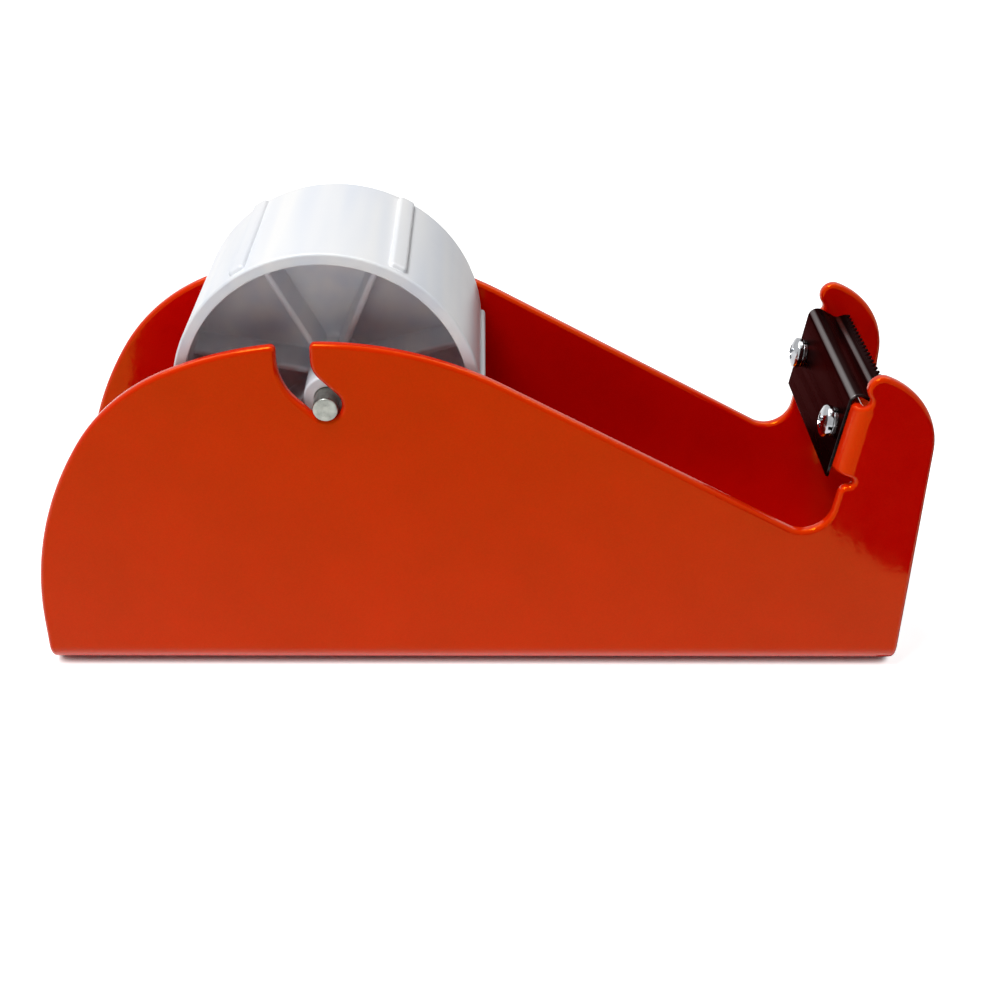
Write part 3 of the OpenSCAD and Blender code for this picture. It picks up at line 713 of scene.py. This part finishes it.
def nut_mesh(side):
    """A hexagon nut with both faces chamfered round its corners."""
    low = BLADE_T + SHEET_T
    high = low + NUT_H
    flat, bore = NUT_AF / 2, SCREW_D / 2 + THREAD_GAP
    face = flat * NUT_FACE
    profiles = []
    for angle in np.arange(0, 360, 4.0):
        reach = flat / math.cos(math.radians(angle % 60 - 30))
        drop = (reach - face) * math.tan(math.radians(NUT_CHAMFER))
        profile = [(bore, low), (face, low), (reach, low + drop),
                   (reach, high - drop), (face, high), (bore, high)]
        profiles.append([(*(radius * unit(angle + 30)), height) for radius, height in profile])
    rings = np.array(profiles).swapaxes(0, 1)
    count = rings.shape[1]
    faces = []
    for k in range(len(rings)):
        faces += band(k * count, (k + 1) % len(rings) * count, count)
    return new_mesh("nut", at_screw(np.vstack(rings), side), faces, sharp=25)


def pad_mesh():
    """The thin foot pad under the base, its corners rounded."""
    half_len, half_w = BODY_LEN / 2 - PAD_MARGIN, BODY_W / 2 - PAD_MARGIN
    corners = [(half_len, -half_w), (half_len, half_w), (-half_len, half_w), (-half_len, -half_w)]
    loop = rounded_loop(corners, [PAD_CORNER] * 4, 4.0)
    points, normals, faces = slab(loop, edge_rows(PAD_T, PAD_EDGE, 3))
    points[:, 2] += PAD_T / 2
    return new_mesh("pad", points, faces, normals)


# Materials: each is a procedural network in the piece's own coordinates, in metres.
def add(tree, kind, inputs=None, **settings):
    """A new node with its settings, its input values and its links."""
    made = tree.nodes.new(kind)
    for name, value in settings.items():
        setattr(made, name, value)
    for name, value in (inputs or {}).items():
        if isinstance(value, bpy.types.NodeSocket):
            tree.links.new(value, made.inputs[name])
        else:
            made.inputs[name].default_value = value
    return made


def new_material(name, **values):
    """A material with its shader's plain values set; returns it, its tree, its shader and its coordinates."""
    material = bpy.data.materials.new(name)
    material.use_nodes = True
    tree = material.node_tree
    shader = tree.nodes["Principled BSDF"]
    for key, value in values.items():
        shader.inputs[key.replace("_", " ")].default_value = value
    place = add(tree, "ShaderNodeTexCoord").outputs["Object"]
    return material, tree, shader, place


def connect(tree, shader, **sockets):
    """Links sockets to a shader's inputs by their names."""
    for key, socket in sockets.items():
        tree.links.new(socket, shader.inputs[key.replace("_", " ")])


def noise(tree, place, scale, detail, stretch=(1, 1, 1)):
    """A noise value at a scale per metre, stretched along the axes."""
    mapped = add(tree, "ShaderNodeMapping", {"Vector": place, "Scale": stretch}).outputs[0]
    return add(tree, "ShaderNodeTexNoise", {"Vector": mapped, "Scale": scale, "Detail": detail}).outputs[0]


def ranged(tree, value, low, high, start=0.3, end=0.7):
    """A value carried from one range to another."""
    inputs = {"Value": value, "From Min": start, "From Max": end, "To Min": low, "To Max": high}
    return add(tree, "ShaderNodeMapRange", inputs).outputs[0]


def maths(tree, operation, a, b=0.0):
    """The result of an operation on one or two values."""
    return add(tree, "ShaderNodeMath", {0: a, 1: b}, operation=operation).outputs[0]


def opaque(colour):
    """A colour with its alpha, or another node's colour as it is."""
    return colour if isinstance(colour, bpy.types.NodeSocket) else (*colour, 1)


def tinted(tree, value, dark, light):
    """A colour between two, by a value from 0 to 1."""
    inputs = {"Factor": value, 6: opaque(dark), 7: opaque(light)}
    return add(tree, "ShaderNodeMix", inputs, data_type="RGBA").outputs[2]


def bumped(tree, height, depth):
    """A normal from a height, with the bump's depth in metres."""
    return add(tree, "ShaderNodeBump", {"Height": height, "Distance": depth, "Strength": 1.0}).outputs[0]


def painted_edge_highlight(tree):
    """Where the paint gets its painted highlight: 0 on the faces of the side plates, rising to 1 over the
    edges and folds that turn away from them.
    """
    facing = add(tree, "ShaderNodeTexCoord").outputs["Normal"]
    across = add(tree, "ShaderNodeSeparateXYZ", {0: facing}).outputs[1]
    return ranged(tree, maths(tree, "ABSOLUTE", across), 1, 0, 0.6, 0.97)


def orange_paint():
    """Glossy powder coat: deep red with an orange sheen, a painted orange highlight over its edges and folds,
    finely rippled.
    """
    material, tree, shader, place = new_material(
        "orange_powder_coat", Specular_Tint=(1.0, 0.34, 0.0, 1.0), Specular_IOR_Level=0.72)
    mottle = maths(tree, "ADD", noise(tree, place, 60, 4), noise(tree, place, 2400, 3))
    deep = tinted(tree, ranged(tree, mottle, 0, 1, 0.7, 1.3), (0.60, 0.0010, 0.0004), (0.69, 0.0025, 0.0008))
    # The lighter orange over edges and folds, chosen by the surface's direction, is a painted highlight for
    # the overhead light they mirror.
    connect(tree, shader,
            Base_Color=tinted(tree, painted_edge_highlight(tree), deep, (0.74, 0.020, 0.0008)),
            Roughness=ranged(tree, noise(tree, place, 240, 3), 0.08, 0.14),
            Normal=bumped(tree, noise(tree, place, 420, 2), 0.00004))
    return material


def white_plastic():
    """Moulded white plastic with faint bluish streaks of painted reflection and a satin skin."""
    material, tree, shader, place = new_material("white_moulding", Specular_IOR_Level=0.4)
    reflection_streak = noise(tree, place, 160, 1, (1, 0.08, 1))
    # The bluish streaks in the colour are painted reflection.
    connect(tree, shader,
            Base_Color=tinted(tree, ranged(tree, reflection_streak, 0, 1), (0.76, 0.79, 0.85), (0.88, 0.88, 0.88)),
            Roughness=ranged(tree, noise(tree, place, 200, 2), 0.28, 0.38),
            Normal=bumped(tree, noise(tree, place, 500, 1), 0.000006))
    return material


def highlight_line(tree, place, distance, reach, brightness):
    """How much a painted highlight line just above the blade covers a place, the line at a distance along its
    strip, in millimetres.
    """
    spots, headings = along_strip(np.array([distance]), blade_runs())
    above = HIGHLIGHT_RISE * BLADE_T * unit(math.degrees(headings[0]) + 90)
    x, z = at_flange(spots + above)[0] * MM
    flat = add(tree, "ShaderNodeMapping", {"Vector": place, "Scale": (1, 0, 1)}).outputs[0]
    away = add(tree, "ShaderNodeVectorMath", {0: flat, 1: (x, 0, z)}, operation="DISTANCE").outputs["Value"]
    return ranged(tree, away, brightness, 0, HIGHLIGHT_CORE * reach * MM, reach * MM)


def black_paint():
    """Blackened steel with faint wipe marks along the blade and painted highlights along its bends."""
    material, tree, shader, place = new_material(
        "blade_black", Metallic=1.0, Specular_Tint=(0.4, 0.3, 0.3, 1.0))
    wipe = noise(tree, place, 300, 4, (1, 0.06, 1))
    ends = np.cumsum([length for length, _ in blade_runs()])
    # The grey bands along the top bend and the lip bend are painted highlights, standing in for what those
    # bends mirror.
    crest = highlight_line(tree, place, 0.65 * ends[0] + 0.35 * ends[1], 1.0, 1.0)
    lip = highlight_line(tree, place, 0.3 * ends[2] + 0.7 * ends[3], 0.8, 0.8)
    painted_highlight = maths(tree, "MULTIPLY", maths(tree, "MAXIMUM", crest, lip), ranged(tree, wipe, 0.7, 1.0))
    black = tinted(tree, ranged(tree, wipe, 0, 1), (0.020, 0.015, 0.015), (0.034, 0.027, 0.027))
    connect(tree, shader,
            Base_Color=tinted(tree, painted_highlight, black, (0.24, 0.23, 0.23)),
            Roughness=ranged(tree, wipe, 0.22, 0.32),
            Normal=bumped(tree, noise(tree, place, 900, 2), 0.000006))
    return material


def metal(name, dark, light, smooth, rough, grain, depth):
    """A bare or plated metal: two tones, two roughnesses and a fine grain."""
    material, tree, shader, place = new_material(name, Metallic=1.0)
    cloud = noise(tree, place, grain / 4, 4)
    connect(tree, shader,
            Base_Color=tinted(tree, ranged(tree, cloud, 0, 1), dark, light),
            Roughness=ranged(tree, noise(tree, place, grain / 2, 3), smooth, rough),
            Normal=bumped(tree, noise(tree, place, grain, 3), depth))
    return material


def pad_rubber():
    """Matt dark rubber with a fine even grain."""
    material, tree, shader, place = new_material("pad_rubber", Specular_IOR_Level=0.25)
    grain = noise(tree, place, 1600, 4)
    connect(tree, shader,
            Base_Color=tinted(tree, ranged(tree, grain, 0, 1), (0.012, 0.012, 0.012), (0.03, 0.03, 0.03)),
            Roughness=ranged(tree, grain, 0.7, 0.9),
            Normal=bumped(tree, grain, 0.00005))
    return material


# The pieces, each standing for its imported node.
paint = orange_paint()
chrome = metal("screw_chrome", (0.34, 0.35, 0.37), (0.50, 0.51, 0.53), 0.06, 0.12, 900, 0.0000005)
washer_steel = metal("washer_steel", (0.30, 0.30, 0.31), (0.50, 0.50, 0.52), 0.15, 0.28, 1500, 0.00001)
nut_zinc = metal("nut_zinc", (0.45, 0.46, 0.47), (0.62, 0.62, 0.62), 0.22, 0.38, 1200, 0.00001)
rod_steel = metal("rod_steel", (0.20, 0.21, 0.19), (0.38, 0.39, 0.35), 0.25, 0.45, 2600, 0.00004)
new_piece("channel_sheet", body_mesh(), paint, "body", "channel_body")
new_piece("foot_pad", pad_mesh(), pad_rubber(), "body", "base_pad")
new_piece("hub_moulding", hub_mesh(), white_plastic(), "hub", "tape_hub")
new_piece("axle_bar", rod_mesh(), rod_steel, "axle", "axle_rod")
new_piece("blade_strip", blade_mesh(), black_paint(), "body", "cutter_blade")
for end, side in (("right", -1), ("left", 1)):
    new_piece(f"screw_{end}", screw_mesh(side), chrome, "body", f"blade_screw_{end}")
    new_piece(f"washer_{end}", washer_mesh(side), washer_steel, "body",
              f"spring_washer_{end}")
    new_piece(f"nut_{end}", nut_mesh(side), nut_zinc, "body", f"blade_nut_{end}")


# Floor, light and camera.
def stage_sheet(name, corners, material):
    """A flat sheet of the set through its corners."""
    mesh = bpy.data.meshes.new(name)
    mesh.from_pydata(corners, [], [tuple(range(len(corners)))])
    sheet = bpy.data.objects.new(name, mesh)
    mesh.materials.append(material)
    bpy.context.scene.collection.objects.link(sheet)
    return sheet


def only_mirrored(sheet):
    """Leaves a sheet of the set to be seen only in what shines."""
    sheet.visible_camera = sheet.visible_diffuse = sheet.visible_shadow = sheet.visible_transmission = False


def seen_rays(tree):
    """1 for the rays by which the set is seen, straight on or in something shiny or clear; otherwise 0."""
    path = add(tree, "ShaderNodeLightPath").outputs
    mirrored = maths(tree, "MAXIMUM", path["Is Glossy Ray"], path["Is Transmission Ray"])
    return maths(tree, "MAXIMUM", path["Is Camera Ray"], mirrored)


def floor_material():
    """Pale paper, lightly clouded, that shows as white but for a line of shade where something touches it."""
    material, tree, shader, place = new_material(
        "studio_paper", Specular_IOR_Level=0.0, Emission_Color=(1, 1, 1, 1))
    cloud = noise(tree, place, 4, 2)
    open_share = add(tree, "ShaderNodeAmbientOcclusion", {"Distance": CONTACT_REACH}).outputs["AO"]
    white = ranged(tree, open_share, 0, FLOOR_WHITE, 0.24, 0.5)
    connect(tree, shader,
            Base_Color=tinted(tree, ranged(tree, cloud, 0, 1), (0.75, 0.75, 0.75), (0.78, 0.78, 0.78)),
            Roughness=ranged(tree, cloud, 0.8, 0.9),
            Emission_Strength=maths(tree, "MULTIPLY", seen_rays(tree), white))
    return material


def flag_material():
    """Dull black cloth."""
    material, tree, shader, place = new_material("flag_cloth", Specular_IOR_Level=0.0)
    weave = noise(tree, place, 800, 2)
    connect(tree, shader, Base_Color=tinted(tree, weave, (0.002, 0.002, 0.002), (0.006, 0.006, 0.006)))
    return material


def strip_material():
    """An evenly lit diffuser, a little uneven from its lamps."""
    material, tree, shader, place = new_material(
        "strip_diffuser", Base_Color=(0, 0, 0, 1), Specular_IOR_Level=0.0, Emission_Color=(1, 1, 1, 1))
    glow = ranged(tree, noise(tree, place, 3, 1), 0.9 * STRIP_WHITE, STRIP_WHITE)
    connect(tree, shader, Emission_Strength=glow)
    return material


def dark_flag(name, corners):
    """A black cloth beside the part that darkens only what the paint mirrors."""
    only_mirrored(stage_sheet(name, [(x, y, FLAG_Z) for x, y in corners], flag_material()))


def soft_light(name, place, target, size, power):
    """A square soft box aimed at a point."""
    lamp = bpy.data.lights.new(name, "AREA")
    lamp.size = size
    lamp.energy = power
    box = bpy.data.objects.new(name, lamp)
    box.location = place
    box.rotation_euler = (Vector(target) - Vector(place)).to_track_quat("-Z", "Y").to_euler()
    bpy.context.scene.collection.objects.link(box)
    return box


def white_world():
    """White behind everything, with a dimmer white for the light that it throws."""
    world = bpy.data.worlds.new("studio")
    world.use_nodes = True
    tree = world.node_tree
    back = tree.nodes["Background"]
    tree.links.new(ranged(tree, seen_rays(tree), WORLD_LIGHT, 1.0, 0, 1), back.inputs["Strength"])
    back.inputs["Color"].default_value = (1, 1, 1, 1)
    bpy.context.scene.world = world


def photo_camera():
    """The camera that took the photograph, fitted to the rims, the rod end and the plates."""
    data = bpy.data.cameras.new("camera")
    data.sensor_width = SENSOR_W
    data.lens = CAMERA_LENS
    camera = bpy.data.objects.new("camera", data)
    yaw, pitch, roll = (math.radians(a) for a in CAMERA_TURNS)
    camera.matrix_world = (Matrix.Translation(CAMERA_PLACE) @ Matrix.Rotation(-yaw, 4, "Z")
                           @ Matrix.Rotation(math.pi / 2 - pitch, 4, "X") @ Matrix.Rotation(-roll, 4, "Z"))
    bpy.context.scene.collection.objects.link(camera)
    bpy.context.scene.camera = camera


stage_sheet("floor", [(x * FLOOR_HALF, y * FLOOR_HALF, FLOOR_Z) for x, y in SQUARE], floor_material())
dark_flag("near_flag", NEAR_FLAG)
dark_flag("front_flag", FRONT_FLAG)
strip_corners = [(x * STRIP_HALF, (y + 1) / 2 * STRIP_DEPTH, STRIP_Z) for x, y in SQUARE]
only_mirrored(stage_sheet("overhead_strip", strip_corners, strip_material()))
soft_light("key_box", KEY_PLACE, KEY_TARGET, KEY_SIZE, KEY_POWER)
front_fill = soft_light("front_fill", FILL_PLACE, FILL_TARGET, FILL_SIZE, FILL_POWER)
front_fill.visible_glossy = False
white_world()
photo_camera()
bpy.context.scene.view_settings.view_transform = "Standard"
